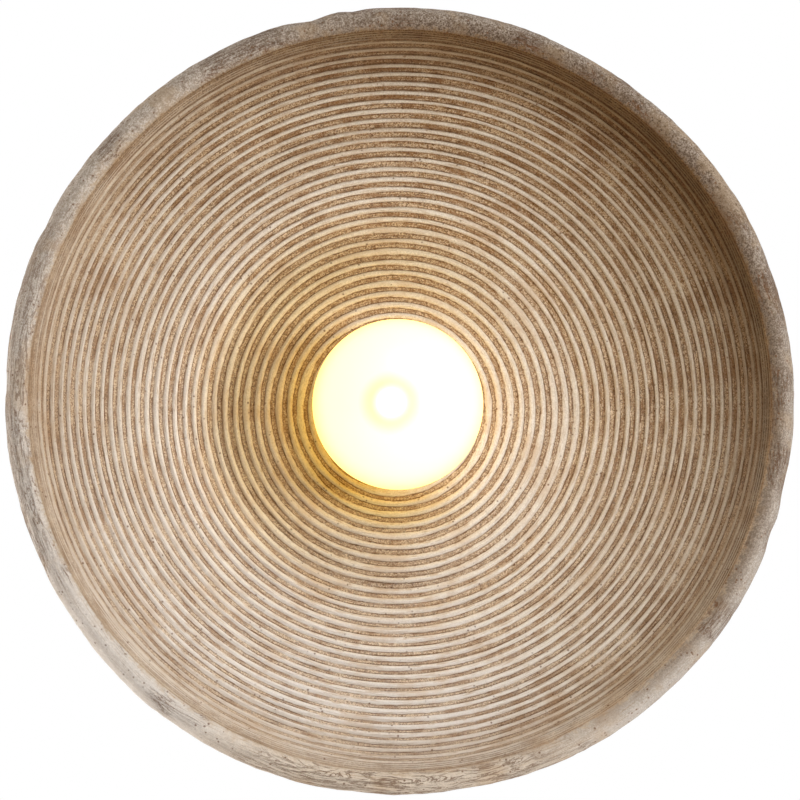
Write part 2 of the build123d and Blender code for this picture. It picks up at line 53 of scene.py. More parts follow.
# ---------------------------------------------------------------- node helpers
class Nodes:
    """A material's node tree, with short calls for the nodes used here."""

    def __init__(self, name):
        self.material = bpy.data.materials.new(name)
        self.material.use_nodes = True
        self.tree = self.material.node_tree
        self.tree.nodes.clear()
        self.output = self.tree.nodes.new("ShaderNodeOutputMaterial")

    def add(self, kind, **inputs):
        """A new node, with named inputs given as values or as sockets to link."""
        node = self.tree.nodes.new(kind)
        for key, value in inputs.items():
            self.put(node.inputs[key.replace("_", " ")], value)
        return node

    def put(self, socket, value):
        """Links a socket, or sets a plain value."""
        if isinstance(value, bpy.types.NodeSocket):
            self.tree.links.new(value, socket)
        else:
            socket.default_value = value

    def math(self, operation, first, second=0.0, third=0.0):
        """A Math node's result."""
        node = self.tree.nodes.new("ShaderNodeMath")
        node.operation = operation
        for socket, value in zip(node.inputs, (first, second, third)):
            self.put(socket, value)
        return node.outputs[0]

    def times(self, first, second):
        """A product."""
        return self.math("MULTIPLY", first, second)

    def invert(self, value):
        """1 where a value is 0, and 0 where it is 1."""
        return self.math("SUBTRACT", 1.0, value)

    def vector(self, operation, first, second=(0.0, 0.0, 0.0)):
        """A Vector Math node."""
        node = self.tree.nodes.new("ShaderNodeVectorMath")
        node.operation = operation
        self.put(node.inputs[0], first)
        self.put(node.inputs[3 if operation == "SCALE" else 1], second)
        return node

    def attribute(self, name):
        """A mesh attribute's value."""
        node = self.tree.nodes.new("ShaderNodeAttribute")
        node.attribute_name = name
        return node.outputs["Fac"]

    def position(self):
        """Object coordinates, in millimetres."""
        coordinates = self.tree.nodes.new("ShaderNodeTexCoord")
        return self.vector("SCALE", coordinates.outputs["Object"], 1 / MM).outputs[0]

    def noise(self, where, size, detail=3.0, rough=0.55, distort=0.0):
        """Noise from 0 to 1 about 0.5, with features of about that size."""
        node = self.add("ShaderNodeTexNoise", Scale=1 / size, Detail=detail, Roughness=rough)
        node.inputs["Distortion"].default_value = distort
        self.put(node.inputs["Vector"], where)
        return node.outputs["Fac"]

    def cells(self, where, size):
        """Distance to the nearest of scattered points about that size apart."""
        node = self.add("ShaderNodeTexVoronoi", Scale=1 / size)
        self.put(node.inputs["Vector"], where)
        return node.outputs["Distance"]

    def ramp(self, value, low, high, smooth=True):
        """0 below low and 1 above high."""
        node = self.tree.nodes.new("ShaderNodeMapRange")
        node.interpolation_type = "SMOOTHSTEP" if smooth else "LINEAR"
        self.put(node.inputs["Value"], value)
        node.inputs["From Min"].default_value = low
        node.inputs["From Max"].default_value = high
        return node.outputs["Result"]

    def mix(self, share, first, second):
        """A colour between two colours."""
        node = self.tree.nodes.new("ShaderNodeMix")
        node.data_type = "RGBA"
        self.put(node.inputs["Factor"], share)
        for socket, value in ((node.inputs[6], first), (node.inputs[7], second)):
            self.put(socket, (*value, 1.0) if isinstance(value, tuple) else value)
        return node.outputs[2]

    def layer(self, base, mark, low, high, share, colour):
        """A colour laid over another, by a share, where a mark rises from low to high."""
        return self.mix(self.times(self.ramp(mark, low, high), share), base, colour)

    def tint(self, share, colour, by):
        """A colour multiplied by another, by a share from 0 to 1."""
        result = self.mix(share, colour, by)
        result.node.blend_type = "MULTIPLY"
        return result

    def bump(self, height, depth, strength=1.0):
        """A normal from a height from 0 to 1 that stands for a real depth in millimetres."""
        node = self.add("ShaderNodeBump", Strength=strength, Distance=depth * MM, Height=height)
        return node.outputs["Normal"]

    def polar(self, where, around, across):
        """Coordinates for marks that run round the depth axis: scales round it and across it."""
        split = self.add("ShaderNodeSeparateXYZ", Vector=where)
        flat = self.vector("MULTIPLY", where, (1.0, 0.0, 1.0)).outputs[0]
        radius = self.vector("LENGTH", flat).outputs["Value"]
        heading = self.vector("NORMALIZE", flat).outputs[0]
        turned = self.vector("SCALE", heading, around).outputs[0]
        along = self.times(self.math("ADD", radius, split.outputs[1]), across)
        shift = self.add("ShaderNodeCombineXYZ", X=0.0, Y=along, Z=0.0).outputs[0]
        return self.vector("ADD", turned, shift).outputs[0]

    def principled(self, **inputs):
        """A Principled shader on the output."""
        node = self.add("ShaderNodeBsdfPrincipled", **inputs)
        self.tree.links.new(node.outputs[0], self.output.inputs["Surface"])
        return self.material


def srgb(red, green, blue):
    """A screen colour, 0 to 255, as linear light."""
    def linear(value):
        value /= 255
        return value / 12.92 if value <= 0.04045 else ((value + 0.055) / 1.055) ** 2.4
    return (linear(red), linear(green), linear(blue))


# ---------------------------------------------------------------- stone dish: geometry
# Lengths are millimetres. Points of the profile are (radius, depth).
dish_low, dish_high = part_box("stone_dish")
DISH_R = dish_high[0] / MM
LIP_TOP = -dish_low[1] / MM
DISH_BACK = -dish_high[1] / MM
FLOOR = DISH_BACK + 18.0
FLOOR_R = 86.26                             # where the flat floor ends and the wall starts
WALL_R = 198.8                              # the wall's arc, and its slope at both ends
WALL_SLOPE = np.radians((22.3, 49.65))
BROW_R = 28.0                               # the steeper arc under the lip
WELL_R = 31.0                               # recess for the globe holder
WELL_FLOOR = FLOOR - 10.0
BORE_R = 6.0
BACK_FLAT_R = 76.0
BACK_MIDDLE = (136.0, 59.0)
BACK_RINGS = 30
LUMP_CELLS = 64                             # the lumps' noise table repeats after so many cells
FADE_RINGS = 6                              # the back's roughness fades out over its last rings
LIP_INNER = (171.5, LIP_TOP - 1.6)
LIP_CREST = (177.0, LIP_TOP - 0.1)
LIP_OUTER = (DISH_R - 1.6, LIP_TOP - 4.2)
LIP_EDGE = (DISH_R - 0.1, LIP_TOP - 8.0)
LIP_UNDER = (DISH_R - 0.9, LIP_TOP - 11.5)

RIB_PITCH = 5.18
RIB_FIRST = 34.48
RIB_COUNT = 31
RIB_HALF = 1.42
RIB_HEIGHT = 1.15
WORN_RIBS = 4                               # the last ribs run out towards the lip
# The rings of one rib: place across it in half widths, and share of its height (None: groove).
RIB_RINGS = (
    (-1.14, None), (-0.84, 0.46), (-0.40, 0.93), (0.40, 0.93), (0.84, 0.46), (1.14, None),
)
ACROSS = 0.54                               # the attribute "across" at a rib's half width
STRIP_STEPS = 9                             # rings between the last rib and the lip

AROUND = 352
ANGLE = np.linspace(0, TURN, AROUND, endpoint=False)
RUN_OUT = (0.7, 0.0, -0.35)                 # how far the ribs run off the dish's centre
# Chips round the lip: centre and half width in degrees, and depth.
CHIPS = (
    (103.5, 2.2, 1.5), (97.0, 1.2, 0.7), (-12.0, 3.4, 1.0), (-20.0, 1.6, 0.7),
    (-97.0, 4.5, 0.5), (-88.0, 2.5, 0.4), (-80.0, 3.0, 0.4), (-108.0, 4.0, 0.2),
    (178.0, 3.0, 0.6), (154.0, 2.0, 0.6), (58.0, 16.0, 1.0), (-125.0, 22.0, 0.5),
)


def ring_noise(length_mm, radius=120.0):
    """Seeded smooth noise round the ring, with features of that length at a radius."""
    spectrum = np.fft.rfft(rng.standard_normal(AROUND))
    waves = np.arange(spectrum.size) * length_mm / (TURN * radius)
    values = np.fft.irfft(spectrum * np.exp(-((waves * 2.2) ** 2)), AROUND)
    return (values - values.mean()) / values.std()


def bowl(along, lift):
    """Radius and depth of points on the dish's inside: along the surface, raised by lift."""
    wall_length = WALL_R * (WALL_SLOPE[1] - WALL_SLOPE[0])
    on_wall = np.clip(along - FLOOR_R, 0, wall_length)
    on_brow = np.maximum(along - FLOOR_R - wall_length, 0)
    wall_angle = WALL_SLOPE[0] + on_wall / WALL_R
    brow_angle = WALL_SLOPE[1] + on_brow / BROW_R
    radius = np.minimum(along, FLOOR_R)
    radius = radius + WALL_R * (np.sin(wall_angle) - np.sin(WALL_SLOPE[0]))
    radius = radius + BROW_R * (np.sin(brow_angle) - np.sin(WALL_SLOPE[1]))
    depth = FLOOR + WALL_R * (np.cos(WALL_SLOPE[0]) - np.cos(wall_angle))
    depth = depth + BROW_R * (np.cos(WALL_SLOPE[1]) - np.cos(brow_angle))
    tilt = np.where(along <= FLOOR_R, 0.0, np.where(on_brow > 0, brow_angle, wall_angle))
    return radius - lift * np.sin(tilt), depth + lift * np.cos(tilt)


def arc_through(start, middle, end, count):
    """count points along the circle through three points, both ends included."""
    (ax, ay), (bx, by), (cx, cy) = start, middle, end
    det = 2 * (ax * (by - cy) + bx * (cy - ay) + cx * (ay - by))
    sums = [x * x + y * y for x, y in (start, middle, end)]
    ox = (sums[0] * (by - cy) + sums[1] * (cy - ay) + sums[2] * (ay - by)) / det
    oy = (sums[0] * (cx - bx) + sums[1] * (ax - cx) + sums[2] * (bx - ax)) / det
    radius = math.hypot(ax - ox, ay - oy)
    angles = np.unwrap([math.atan2(y - oy, x - ox) for x, y in (start, middle, end)])
    turn = np.linspace(angles[0], angles[2], count)
    return [(ox + radius * math.cos(t), oy + radius * math.sin(t)) for t in turn]


class Rows:
    """Rings of the dish's surface, from its bore outwards and round to its back."""

    def __init__(self):
        self.radius, self.depth, self.across, self.ribbed, self.rough = [], [], [], [], []
        self.lip = []

    def add(self, radius, depth, across=1.0, ribbed=0.0, rough=0.0, lip=0.0):
        """One ring. rough is how far, in mm, the free noise may push it in; lip is bare stone."""
        whole = np.ones(AROUND)
        self.radius.append(radius * whole)
        self.depth.append(depth * whole)
        self.across.append(across * whole)
        self.ribbed.append(ribbed * whole)
        self.rough.append(rough * whole)
        self.lip.append(lip * whole)


def facing(degrees):
    """1 round the ring where it points that way, down to -1 opposite."""
    return np.cos(ANGLE - math.radians(degrees))


def add_ribs(rows):
    """Seven rings a rib: its valley, then groove, flank, crest, crest, flank and groove."""
    drift = ring_noise(90.0)
    worn = 1 - 0.35 * np.clip(facing(-8), 0, 1)
    for rib in range(RIB_COUNT):
        along = RIB_FIRST + rib * RIB_PITCH
        outer_share = max(0.0, (rib - (RIB_COUNT - WORN_RIBS)) / WORN_RIBS)
        height = RIB_HEIGHT * min(1.0, 0.62 + rib * 0.035) * worn ** min(1.0, rib / 10)
        height = height * (1 + 0.16 * ring_noise(35.0)) * (1 - outer_share * (0.35 + 0.25 * drift))
        height = np.clip(height, 0.05, RIB_HEIGHT * 1.25)
        half = RIB_HALF * (1 - 0.28 * rib / RIB_COUNT) * (1 + 0.10 * ring_noise(28.0))
        half = half + 0.05 * ring_noise(9.0)
        middle = along + 0.12 * ring_noise(60.0)
        groove = -0.10 - 0.05 * np.abs(ring_noise(14.0))
        valley = 0.10 + 0.05 * ring_noise(16.0)
        ribbed = 1 - 0.4 * np.clip(outer_share * (0.7 + 0.5 * drift), 0, 1)
        radius, depth = bowl(along - RIB_PITCH / 2, valley)
        rows.add(radius, depth, 1.0, ribbed)
        for place, share in RIB_RINGS:
            lift = groove if share is None else share * height
            radius, depth = bowl(middle + place * half, lift)
            rows.add(radius, depth, abs(place) * ACROSS, ribbed)


def add_well(rows):
    """The bore's end and the recess for the globe holder."""
    for radius, depth in (
        (BORE_R, WELL_FLOOR - 0.3),
        (BORE_R + 0.3, WELL_FLOOR),
        (WELL_R - 0.5, WELL_FLOOR),
        (WELL_R, WELL_FLOOR + 0.5),
        (WELL_R, FLOOR - 0.6),
        (WELL_R + 0.6, FLOOR),
    ):
        rows.add(radius, depth)


def add_strip(rows):
    """Fine lines between the last rib and the lip, strongest at the upper right."""
    end = RIB_FIRST + (RIB_COUNT - 0.5) * RIB_PITCH
    last_r, last_depth = (float(value) for value in bowl(np.array(end), 0.1))
    upper_right = np.clip(0.70 + 0.4 * facing(40), 0.45, 1)
    ribbed = 0.2 + 0.7 * upper_right
    for step in range(STRIP_STEPS):
        share = step / STRIP_STEPS
        on_line = step % 2 * upper_right * (1 - 0.35 * share) * (1 + 0.2 * ring_noise(20.0))
        radius = last_r + (LIP_INNER[0] - last_r) * share - 0.46 * on_line
        depth = last_depth + (LIP_INNER[1] - last_depth) * share + 0.38 * on_line
        across = 0.95 - 0.75 * np.clip(1.6 * on_line, 0, 1)
        rows.add(radius, depth, across, ribbed, rough=0.1 + 0.3 * share)


def add_lip_and_back(rows):
    """The rounded lip, the dish's back and its flat, and the bore's other end."""
    lip = arc_through(LIP_INNER, LIP_CREST, LIP_OUTER, 8)[:-1]
    lip += arc_through(LIP_OUTER, LIP_EDGE, LIP_UNDER, 5)[:-1]
    for radius, depth in lip:
        rows.add(radius, depth, rough=0.55, lip=1.0)
    back = arc_through(LIP_UNDER, BACK_MIDDLE, (BACK_FLAT_R, DISH_BACK), BACK_RINGS)
    for step, (radius, depth) in enumerate(back):
        fade = min(1.0, (BACK_RINGS - 1 - step) / FADE_RINGS)
        rows.add(radius, depth, rough=0.8 * fade, lip=1.0)
    rows.add(BACK_FLAT_R - 20.0, DISH_BACK, lip=1.0)
    rows.add(BORE_R + 0.3, DISH_BACK)
    rows.add(BORE_R, DISH_BACK + 0.3)


def dish_rows():
    """All rings of the dish, from its bore's front end to its bore's back end."""
    rows = Rows()
    add_well(rows)
    add_ribs(rows)
    add_strip(rows)
    add_lip_and_back(rows)
    return rows


def lumps(points, size, seed):
    """Smooth 3-D value noise from -1 to 1 at points, with features of about that size."""
    local = np.random.default_rng(seed)
    table = local.uniform(-1, 1, (LUMP_CELLS, LUMP_CELLS, LUMP_CELLS))
    scaled = points / size
    cell = np.floor(scaled).astype(int)
    part = scaled - cell
    part = part * part * (3 - 2 * part)
    total = np.zeros(points.shape[:-1])
    for dx in (0, 1):
        for dy in (0, 1):
            for dz in (0, 1):
                weight = np.ones(points.shape[:-1])
                for axis, step in enumerate((dx, dy, dz)):
                    share = part[..., axis]
                    weight = weight * (share if step else 1 - share)
                corner = (cell + (dx, dy, dz)) % LUMP_CELLS
                total += weight * table[corner[..., 0], corner[..., 1], corner[..., 2]]
    return total


def lip_chips():
    """How deep the lip is chipped, round the ring."""
    total = np.zeros(AROUND)
    for centre, half, depth in CHIPS:
        away = (np.degrees(ANGLE) - centre + 180) % 360 - 180
        total += depth * np.exp(-((away / half) ** 2))
    return total


def closed_mesh(name, points):
    """A mesh from rings of points that close in both directions."""
    ring_count, around = points.shape[:2]
    index = np.arange(ring_count * around).reshape(ring_count, around)
    after = np.roll(index, -1, axis=0)
    quads = np.stack((index, after, np.roll(after, -1, axis=1), np.roll(index, -1, axis=1)), -1)
    quads = quads.reshape(-1, 4)
    mesh = bpy.data.meshes.new(name)
    mesh.vertices.add(ring_count * around)
    mesh.vertices.foreach_set("co", (points * MM).astype(np.float32).ravel())
    mesh.loops.add(quads.size)
    mesh.loops.foreach_set("vertex_index", quads.astype(np.int32).ravel())
    mesh.polygons.add(len(quads))
    mesh.polygons.foreach_set("loop_start", np.arange(0, quads.size, 4, dtype=np.int32))
    mesh.update(calc_edges=True)
    mesh.polygons.foreach_set("use_smooth", np.ones(len(quads), dtype=bool))
    mesh.validate()
    return mesh


def make_object(name, mesh, material):
    """An object in the scene with one material."""
    piece = bpy.data.objects.new(name, mesh)
    bpy.context.collection.objects.link(piece)
    mesh.materials.append(material)
    return piece


def set_attribute(mesh, name, values):
    """A float on every vertex."""
    attribute = mesh.attributes.new(name, "FLOAT", "POINT")
    attribute.data.foreach_set("value", np.asarray(values, dtype=np.float32).ravel())


def to_points(radius, depth):
    """Places of rings of vertices, in millimetres."""
    return np.stack((radius * np.cos(ANGLE), -depth, radius * np.sin(ANGLE)), -1)


def outward(radius, depth):
    """The profile's outward direction at every ring."""
    ahead_r = np.roll(radius, -1, 0) - np.roll(radius, 1, 0)
    ahead_d = np.roll(depth, -1, 0) - np.roll(depth, 1, 0)
    length = np.hypot(ahead_r, ahead_d)
    return -ahead_d / length, ahead_r / length


def hand_finish(rows, radius, depth):
    """How far each vertex is pushed out: lumps on rough rows, and a chipped, wavy lip."""
    points = to_points(radius, depth)
    push = -0.35 + 0.55 * lumps(points, 23.0, 5) + 0.45 * lumps(points, 7.5, 6)
    push = push + 0.35 * lumps(points, 3.4, 7)
    on_lip = np.clip((radius - 170) / 4, 0, 1) * np.clip((depth - LIP_TOP + 16) / 6, 0, 1)
    wave = 0.24 * ring_noise(120.0, DISH_R) + 0.14 * ring_noise(34.0, DISH_R)
    push = push * np.array(rows.rough) - on_lip * (lip_chips() + 0.35 + wave)
    return np.minimum(push, 0.25)


def dish_mesh():
    """The ribbed, hand-finished stone dish as one closed mesh."""
    rows = dish_rows()
    radius, depth = np.array(rows.radius), np.array(rows.depth)
    out_r, out_d = outward(radius, depth)
    push = hand_finish(rows, radius, depth)
    points = to_points(radius + out_r * push, depth + out_d * push)
    in_bowl = np.array(rows.ribbed) > 0
    run_out = in_bowl * np.clip((radius - 55) / 50, 0, 1) * np.clip((168 - radius) / 12, 0, 1)
    points += run_out[..., None] * RUN_OUT
    mesh = closed_mesh("stone_dish_carved", points)
    set_attribute(mesh, "across", rows.across)
    set_attribute(mesh, "ribbed", rows.ribbed)
    set_attribute(mesh, "lip", rows.lip)
    return mesh


# ---------------------------------------------------------------- stone dish: material
class Stone(Nodes):
    """The dish's cast stone. Sides are as seen from in front: +X is right and +Z is up."""

    def __init__(self):
        super().__init__("cast_stone_whitewashed")
        where = self.position()
        split = self.add("ShaderNodeSeparateXYZ", Vector=where)
        flat = self.vector("MULTIPLY", where, (1.0, 0.0, 1.0)).outputs[0]
        streak_at = self.polar(where, 60.0, 6.0)
        self.where = where
        self.x = split.outputs[0]
        self.z = split.outputs[2]
        self.radius = self.vector("LENGTH", flat).outputs["Value"]
        self.front = self.ramp(split.outputs[1], -80.0, -100.0)
        self.streak = self.noise(streak_at, 7.0, detail=4.0, rough=0.6)
        self.fine_streak = self.noise(streak_at, 2.2, detail=3.0, rough=0.65)
        self.hair = self.noise(self.polar(where, 20.0, 5.0), 1.9, detail=3.0, rough=0.7)
        self.grain = self.noise(where, 0.75, detail=3.0, rough=0.75)
        self.speck = self.noise(where, 1.3, detail=2.0, rough=0.7)
        self.coarse = self.noise(where, 2.6, detail=3.0, rough=0.6)
        self.patch = self.noise(where, 20.0, detail=4.0, rough=0.6)
        # Painted light: the lower left, the side the lights fall on, is painted paler on ridges,
        # valleys and lip
        self.painted_lit_side = self.toward(0.35, 1.0, 150.0, -150.0, smooth=False)

    def toward(self, right, up, low, high, smooth=True):
        """0 to 1 across the dish, between two distances along a direction (right, up)."""
        along = self.math("MULTIPLY_ADD", self.x, right, self.times(self.z, up))
        return self.ramp(along, low, high, smooth)

    def rib_masks(self):
        """Where the sandy valleys are, and the dirt in their corners."""
        broad = self.noise(self.where, 70.0, detail=2.0)
        uneven = self.times(self.math("SUBTRACT", broad, 0.5), 0.8)
        # Partly painted light: the whitewash is drawn wider on the painted lit side, so the lower
        # left reads paler
        wash_and_lit_side = self.math("ADD", self.painted_lit_side, uneven)
        side = self.attribute("across")
        for mark, middle, amount in (
            (self.fine_streak, 0.5, 0.42),
            (self.grain, 0.5, 0.30),
            (wash_and_lit_side, 0.4, -0.16),
        ):
            side = self.math("MULTIPLY_ADD", self.math("SUBTRACT", mark, middle), amount, side)
        ribbed = self.attribute("ribbed")
        valley = self.times(self.ramp(side, 0.42, 0.60), ribbed)
        off_corner = self.math("ABSOLUTE", self.math("SUBTRACT", side, 0.64))
        corner = self.times(self.invert(self.ramp(off_corner, 0.02, 0.13)), ribbed)
        return valley, self.times(corner, self.ramp(self.streak, 0.36, 0.58))

    def whitewash(self):
        """The chalky coat on the ridges."""
        gritty = self.ramp(self.grain, 0.38, 0.62)
        chalk = self.mix(gritty, srgb(210, 194, 176), srgb(236, 225, 211))
        # Painted light: the chalk is painted paler on the lit lower side
        chalk = self.mix(self.times(self.painted_lit_side, 0.7), chalk, srgb(231, 222, 215))
        chalk = self.layer(chalk, self.hair, 0.52, 0.64, 0.5, srgb(180, 148, 112))
        return self.layer(chalk, self.patch, 0.48, 0.66, 0.45, srgb(204, 178, 152))

    def sand(self, chalk):
        """The gritty tan stone of the valleys."""
        gritty = self.ramp(self.grain, 0.40, 0.60)
        sand = self.mix(gritty, srgb(150, 112, 70), srgb(222, 196, 164))
        sand = self.layer(sand, self.hair, 0.46, 0.58, 0.72, srgb(132, 88, 46))
        sand = self.layer(sand, self.speck, 0.55, 0.64, 0.7, srgb(92, 58, 26))
        # Painted light: the sand is mixed toward chalk on the lit lower side
        return self.mix(self.times(self.painted_lit_side, 0.30), sand, chalk)

    def toward_lip(self, body):
        """Painted shade near the lip: the upper wall, the brow on the shaded side, the lit side,
        and under the lip.
        """
        # Painted shade: the wall outside the middle is darkened, most towards the top and left
        painted_wall_shade = self.times(self.ramp(self.radius, 92.0, 135.0), self.toward(-0.3, 0.8, -80.0, 60.0))
        body = self.tint(painted_wall_shade, body, srgb(235, 231, 225))
        shaded_side = self.toward(0.6, 0.8, -20.0, 190.0)
        # Bands between two radii: painted shade under the brow on the shaded side, darker towards
        # the lip on the lit side, a painted shade line under the lip all round, and more painted
        # shade under the lip on the shaded side
        for inner, outer, side, colour in (
            (140.0, 167.0, shaded_side, srgb(174, 154, 122)),
            (148.0, 165.0, self.invert(shaded_side), srgb(238, 231, 222)),
            (168.5, 171.5, 1.0, srgb(236, 228, 217)),
            (164.0, 170.0, shaded_side, srgb(230, 222, 208)),
        ):
            body = self.tint(self.times(self.ramp(self.radius, inner, outer), side), body, colour)
        return body

    def round_globe(self, body):
        """Painted light round the globe: its amber-lit shadow close by at the lower left, and a
        wider warm glow.
        """
        near = self.ramp(self.radius, 64.0, 46.0)
        # Painted shadow: the globe's shadow at its lower left, coloured by the globe's own amber
        # light
        painted_globe_shadow = self.times(near, self.toward(0.75, 0.5, 12.0, -36.0))
        body = self.tint(self.times(painted_globe_shadow, 0.85), body, srgb(243, 224, 145))
        # Painted light: the globe's warm light on the ribs, most to its left and above
        painted_globe_glow = self.times(self.ramp(self.radius, 105.0, 72.0), self.ramp(self.radius, 44.0, 60.0))
        painted_globe_glow = self.times(painted_globe_glow, self.toward(-0.8, 0.35, -60.0, 60.0))
        return self.tint(painted_globe_glow, body, srgb(250, 238, 205))

    def bare_stone(self, chalk):
        """The lip's and the back's stone: peppered grey, painted darker right and top, paler low
        left.
        """
        # Painted shade: the right and upper side of the lip is painted darker, greyer and more
        # speckled
        lip_shade_side = self.toward(0.9, 0.35, -60.0, 110.0)
        shaded_pepper = self.mix(lip_shade_side, srgb(148, 130, 114), srgb(122, 102, 86))
        stone = self.mix(self.ramp(self.grain, 0.38, 0.62), shaded_pepper, srgb(198, 184, 170))
        stone = self.layer(stone, self.coarse, 0.46, 0.60, 0.5, srgb(122, 101, 80))
        stone = self.layer(stone, self.patch, 0.50, 0.64, 0.5, srgb(176, 150, 120))
        specks = self.math("MULTIPLY_ADD", lip_shade_side, 0.40, 0.30)
        stone = self.layer(stone, self.speck, 0.54, 0.66, specks, srgb(92, 66, 42))
        # Painted light: paler and chalky on the lit low side
        stone = self.mix(self.times(self.painted_lit_side, 0.75), stone, chalk)
        stone = self.tint(lip_shade_side, stone, srgb(238, 237, 236))
        # Painted shade at the lip's inner edge on the shaded side
        inner_lip_shade = self.times(self.ramp(self.radius, 181.0, 173.5), lip_shade_side)
        stone = self.tint(inner_lip_shade, stone, srgb(199, 189, 178))
        return self.tint(self.ramp(self.z, -140.0, -175.0), stone, srgb(252, 244, 232))

    def lip_mask(self):
        """1 where the stone is bare, with a ragged edge where the lip starts in front."""
        wander = self.math("SUBTRACT", self.coarse, 0.5)
        edge_at = self.math("MULTIPLY_ADD", wander, 9.0, self.radius)
        ragged = self.math("MAXIMUM", self.ramp(edge_at, 169.8, 173.6), self.invert(self.front))
        return self.times(self.attribute("lip"), ragged)

    def marks(self, lip):
        """Pits, and cracks in patches, most of them at the lip's bottom and left."""
        dots = self.invert(self.ramp(self.cells(self.where, 3.0), 0.10, 0.24))
        dotted = self.math("MULTIPLY_ADD", lip, 0.09, self.noise(self.where, 8.0))
        pits = self.times(dots, self.ramp(dotted, 0.50, 0.62))
        vein_at = self.polar(self.where, 50.0, 2.2)
        vein = self.noise(vein_at, 8.0, detail=6.0, rough=0.7, distort=1.6)
        off_vein = self.math("ABSOLUTE", self.math("SUBTRACT", vein, 0.5))
        patches = self.ramp(self.noise(self.where, 30.0, detail=1.0), 0.50, 0.62)
        left = self.times(self.ramp(self.x, -146.0, -172.0), 0.8)
        bottom = self.ramp(self.z, -150.0, -174.0)
        cracked = self.math("MAXIMUM", patches, self.math("MAXIMUM", bottom, left))
        crack = self.times(self.invert(self.ramp(off_vein, 0.008, 0.040)), cracked)
        crack = self.times(crack, self.math("MULTIPLY_ADD", lip, 0.8, 0.2))
        crack = self.times(crack, self.math("MULTIPLY_ADD", self.front, 0.6, 0.4))
        return self.math("MAXIMUM", pits, crack)


def stone_material():
    """Whitewashed ridges, sandy tan valleys with dirt in their corners, and a grey gritty lip."""
    n = Stone()
    valley, groove = n.rib_masks()
    chalk = n.whitewash()
    # Painted shade: the ridges are painted darker towards the right, where the wall faces away from
    # the lights
    ridge = n.tint(n.ramp(n.x, 40.0, 130.0), chalk, srgb(236, 230, 220))
    body = n.mix(valley, ridge, n.sand(chalk))
    body = n.mix(n.times(groove, 0.8), body, srgb(106, 72, 42))
    body = n.round_globe(n.toward_lip(body))
    lip = n.lip_mask()
    body = n.mix(lip, body, n.bare_stone(chalk))
    marks = n.marks(lip)
    body = n.mix(n.times(marks, 0.75), body, srgb(106, 66, 32))
    height = n.math("MULTIPLY_ADD", n.grain, 0.9, n.times(n.coarse, 0.5))
    for dip, share in ((marks, -0.4), (groove, -0.4), (n.hair, -0.8)):
        height = n.math("MULTIPLY_ADD", dip, share, height)
    return n.principled(
        Base_Color=body,
        Roughness=n.math("MULTIPLY_ADD", n.grain, 0.12, 0.82),
        Normal=n.bump(height, 0.42, strength=0.9),
        Specular_IOR_Level=0.2,
    )


dish = make_object("stone_dish_carved", dish_mesh(), stone_material())
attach(dish, "dish")
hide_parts("stone_dish")


# ---------------------------------------------------------------- globe and bulb
def opal_material():
    """Opal glass lit from inside: a hot spot in front of the bulb, ringed by the bulb's yellow."""
    n = Nodes("opal_glass_lit")
    where = n.position()
    split = n.add("ShaderNodeSeparateXYZ", Vector=where)
    depth = n.times(split.outputs[1], -1.0)
    from_lamp = n.vector("SUBTRACT", where, (-5.0, 0.0, -2.1)).outputs[0]
    from_lamp = n.vector("MULTIPLY", from_lamp, (1.0, 0.0, 1.0)).outputs[0]
    off_lamp = n.vector("LENGTH", from_lamp).outputs["Value"]
    off_lamp = n.math("ADD", off_lamp, n.times(n.ramp(depth, 100.0, 80.0), 60.0))
    glow = n.mix(n.ramp(depth, 46.0, 92.0), (0.95, 0.62, 0.08), (0.82, 0.57, 0.17))
    glow = n.mix(n.ramp(depth, 82.0, 104.0), glow, (0.70, 0.50, 0.33))
    glow = n.mix(n.ramp(off_lamp, 16.0, 9.5), glow, (0.73, 0.49, 0.15))
    glow = n.mix(n.ramp(off_lamp, 9.5, 3.0), glow, (1.0, 0.9, 0.65))
    return n.principled(
        Base_Color=(0.36, 0.36, 0.36, 1.0),
        Roughness=0.3,
        Emission_Color=glow,
        Emission_Strength=1.9,
    )


def bulb_glow_material():
    """The bulb's frosted cover, lit by the LEDs behind it."""
    n = Nodes("bulb_cover_lit")
    split = n.add("ShaderNodeSeparateXYZ", Vector=n.position())
    depth = n.times(split.outputs[1], -1.0)
    end = n.ramp(depth, 92.0, 99.0)
    glow = n.mix(end, srgb(255, 222, 110), srgb(255, 244, 200))
    return n.principled(
        Base_Color=(0.95, 0.93, 0.88, 1.0),
        Roughness=0.5,
        Emission_Color=glow,
        Emission_Strength=12.0,
    )


def set_material(node, material):
    """Gives a CAD node's object one material."""
    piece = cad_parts[node]
    piece.data.materials.clear()
    piece.data.materials.append(material)


set_material("globe_glass", opal_material())
set_material("bulb_dome", bulb_glow_material())


